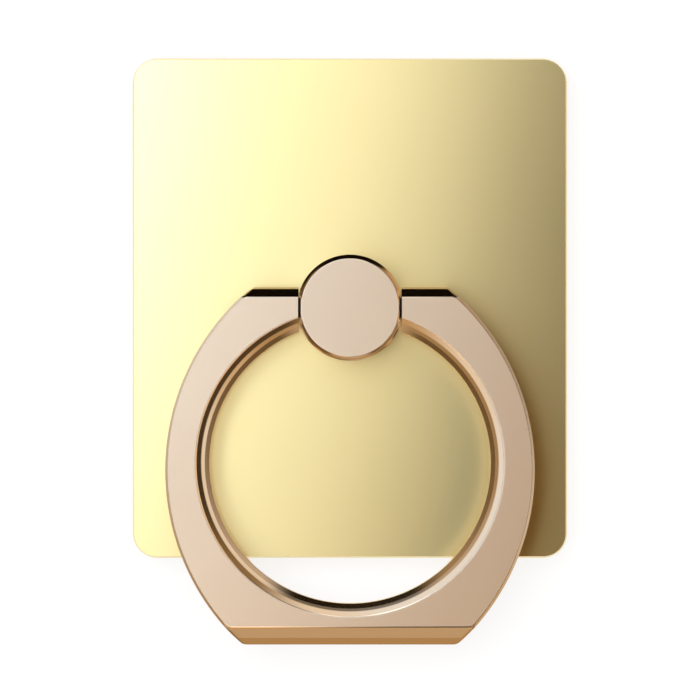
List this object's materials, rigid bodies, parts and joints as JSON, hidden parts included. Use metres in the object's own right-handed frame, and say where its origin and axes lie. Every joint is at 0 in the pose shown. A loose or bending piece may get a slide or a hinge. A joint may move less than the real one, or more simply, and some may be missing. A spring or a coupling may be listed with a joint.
{
  "type": "phone ring holder",
  "caption": "Gold metal plate that sticks to a phone's back, with a flat-footed finger ring on a hub that spins and lets the ring flip up as a grip or stand.",
  "frame": {"origin": "where the swivel axis meets the sticky face of the adhesive pad", "axes": "+Z out of the plate's face, away from the phone; +Y towards the plate's top edge, away from the folded ring; +X to the right, along the hinge pin"},
  "size_m": [0.0348, 0.0467, 0.0071],
  "materials": {
    "adhesive_foam": "soft, slightly tacky, translucent grey",
    "polished_gold_plate": "pale gold plating on cast zinc alloy, polished to a soft mirror",
    "cover_film": "thin black polyester film",
    "white_nylon": "bare nylon",
    "spring_steel": "hardened strip, dark grey",
    "zinc_plated_steel": "bright zinc plating",
    "pin_steel": "browned steel, lightly oiled",
    "satin_rose_gold": "rose gold plating on cast zinc alloy, fine satin faces with polished bevels and edges"
  },
  "bodies": {
    "base": {"adhesive_pad": "adhesive_foam", "base_plate": "polished_gold_plate", "recess_cover": "cover_film"},
    "swivel": {"hub": "satin_rose_gold", "swivel_washer": "white_nylon", "spring_washer": "spring_steel", "retaining_washer": "zinc_plated_steel", "hub_screw": "zinc_plated_steel", "friction_sleeve": "spring_steel"},
    "ring": {"ring": "satin_rose_gold", "hinge_pin": "pin_steel"}
  },
  "joints": [
    {"name": "swivel", "type": "hinge", "parent": "base", "child": "swivel", "pos_m": [0, 0, 0.0028], "axis": [0, 0, 1], "continuous": true},
    {"name": "flip", "type": "hinge", "parent": "swivel", "child": "ring", "pos_m": [0, 0, 0.0051], "axis": [-1, 0, 0], "range_deg": [0, 180]}
  ]
}
